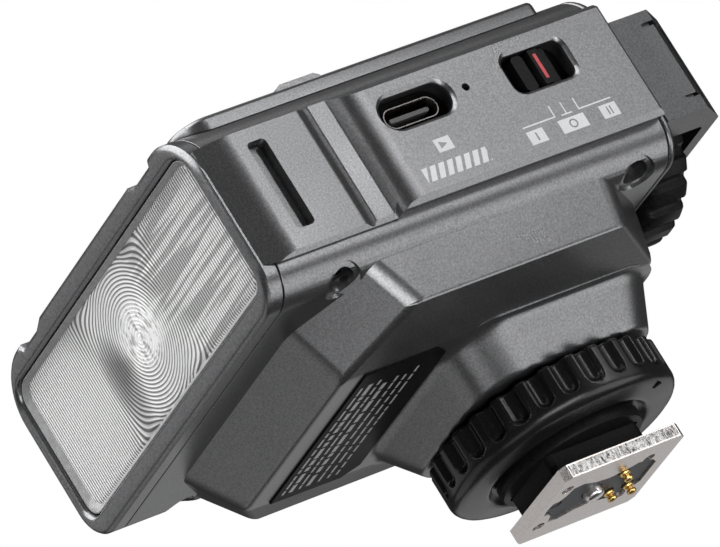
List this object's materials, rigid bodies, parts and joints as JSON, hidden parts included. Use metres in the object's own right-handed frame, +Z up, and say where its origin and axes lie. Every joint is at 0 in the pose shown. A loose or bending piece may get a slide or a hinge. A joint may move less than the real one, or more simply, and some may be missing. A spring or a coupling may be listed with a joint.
{
  "type": "speedlight flash",
  "caption": "Compact on-camera flash: wide ribbed flash window, stepped casing, side controls, rear dial, and a hot-shoe foot with a knurled locking ring.",
  "frame": {"origin": "centre of the underside of the hot-shoe foot plate", "axes": "+Z up, away from the camera it stands on; the flash window faces -Y; the control side with the USB-C socket and mode switch faces +X"},
  "size_m": [0.0723, 0.082, 0.0598],
  "materials": {
    "casing_paint": "satin metallic graphite paint",
    "black_plastic": "fine matt",
    "clear_lens": "clear ribbed acrylic",
    "dark_glass": "polished",
    "reflector_foil": "bright",
    "nickel": "satin nickel plate",
    "black_steel": "black oxide",
    "gold": "gold plate",
    "red_mark": "paint",
    "grey_rubber": "matt",
    "circuit_board": "solder mask",
    "blue_sleeve": "shrink sleeve",
    "black_label": "gloss film"
  },
  "bodies": {
    "head": {"battery_pack": "black_plastic", "casing_screw_front_left": "black_steel", "casing_screw_front_right": "black_steel", "casing_screw_rear_left": "black_steel", "casing_screw_rear_right": "black_steel", "charge_led": "clear_lens", "contact_insulator": "black_plastic", "dial_shaft": "black_steel", "display_module": "black_plastic", "display_window": "dark_glass", "flash_tube": "dark_glass", "foot_plate": "nickel", "foot_screw_front_left": "black_steel", "foot_screw_front_right": "black_steel", "foot_screw_rear_left": "black_steel", "foot_screw_rear_right": "black_steel", "fresnel_lens": "clear_lens", "front_bezel": "casing_paint", "lower_shell": "casing_paint", "main_board": "circuit_board", "main_capacitor": "blue_sleeve", "mode_switch_body": "black_steel", "rating_label": "black_label", "rear_cover": "casing_paint", "rear_housing": "casing_paint", "reflector": "reflector_foil", "shoe_board": "circuit_board", "shoe_post": "black_plastic", "side_cover_left": "casing_paint", "side_cover_right": "casing_paint", "side_window": "dark_glass", "top_cover": "casing_paint", "trigger_coil": "black_steel", "tube_holder_left": "grey_rubber", "tube_holder_right": "grey_rubber", "upper_shell": "casing_paint", "usb_c_shell": "nickel", "usb_c_tongue": "black_plastic"},
    "test_button": {"test_button": "black_plastic"},
    "mode_switch": {"mode_switch_knob": "black_plastic", "mode_switch_mark": "red_mark"},
    "rear_dial": {"rear_dial": "black_plastic"},
    "clamp": {"clamp_plate": "black_plastic"},
    "lock_ring": {"lock_ring": "black_plastic"},
    "lock_pin": {"lock_pin": "black_steel"},
    "centre_contact": {"centre_contact": "nickel"},
    "contact_pin_1": {"contact_pin_1": "gold"},
    "contact_pin_2": {"contact_pin_2": "gold"},
    "contact_pin_3": {"contact_pin_3": "gold"}
  },
  "joints": [
    {"name": "ring_turn", "type": "hinge", "parent": "clamp", "child": "lock_ring", "pos_m": [0, -0.0013, 0.01], "axis": [0, 0, 1], "range_deg": [0, 540]},
    {"name": "clamp_travel", "type": "slide", "parent": "head", "child": "clamp", "axis": [0, 0, -1], "range_m": [0, 0.002]},
    {"name": "lock_pin_travel", "type": "slide", "parent": "head", "child": "lock_pin", "axis": [0, 0, -1], "range_m": [0, 0.0018]},
    {"name": "dial_turn", "type": "hinge", "parent": "head", "child": "rear_dial", "pos_m": [0.0124, 0.0181, 0.0419], "axis": [0, 1, 0], "continuous": true},
    {"name": "switch_slide", "type": "slide", "parent": "head", "child": "mode_switch", "axis": [0, 1, 0], "range_m": [-0.0021, 0.0021]},
    {"name": "test_button_press", "type": "slide", "parent": "head", "child": "test_button", "axis": [0, -1, 0], "range_m": [0, 0.0004], "stiffness_N_per_m": 300},
    {"name": "centre_contact_press", "type": "slide", "parent": "head", "child": "centre_contact", "axis": [0, 0, 1], "range_m": [0, 0.0006], "stiffness_N_per_m": 300},
    {"name": "contact_pin_1_press", "type": "slide", "parent": "head", "child": "contact_pin_1", "axis": [0, 0, 1], "range_m": [0, 0.0006], "stiffness_N_per_m": 300},
    {"name": "contact_pin_2_press", "type": "slide", "parent": "head", "child": "contact_pin_2", "axis": [0, 0, 1], "range_m": [0, 0.0006], "stiffness_N_per_m": 300},
    {"name": "contact_pin_3_press", "type": "slide", "parent": "head", "child": "contact_pin_3", "axis": [0, 0, 1], "range_m": [0, 0.0006], "stiffness_N_per_m": 300}
  ],
  "couplings": [
    {"joint": "clamp_travel", "follows": "ring_turn", "m_per_rad": 0.000212},
    {"joint": "lock_pin_travel", "follows": "ring_turn", "m_per_rad": 0.00019}
  ]
}
